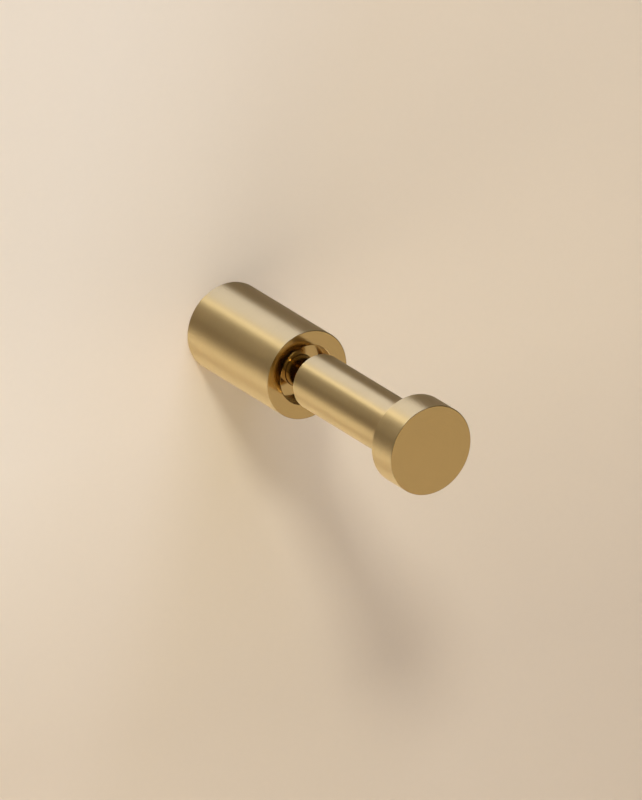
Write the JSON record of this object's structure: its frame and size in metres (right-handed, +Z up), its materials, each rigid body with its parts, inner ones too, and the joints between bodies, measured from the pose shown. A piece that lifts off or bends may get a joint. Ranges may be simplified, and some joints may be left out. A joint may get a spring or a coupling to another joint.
{
  "type": "robe hook",
  "caption": "Round wall-mounted robe hook: a turned sleeve with a recessed, thinner peg that ends in a flat disc head.",
  "frame": {"origin": "centre of the wall face, on the hook's axis, at the wall end of the screw hole", "axes": "+Z up, +Y into the wall; the hook points along -Y into the room and its grub screw is underneath"},
  "size_m": [0.02, 0.0795, 0.02],
  "materials": {
    "brushed_brass": "satin, turned, lacquered",
    "raw_brass": "machined, bare",
    "screw_steel": "stainless, plain"
  },
  "bodies": {
    "root": {"sleeve": "brushed_brass", "peg": "brushed_brass", "wall_bracket": "raw_brass", "peg_screw": "screw_steel", "lock_washer": "screw_steel", "grub_screw": "screw_steel"}
  },
  "joints": []
}
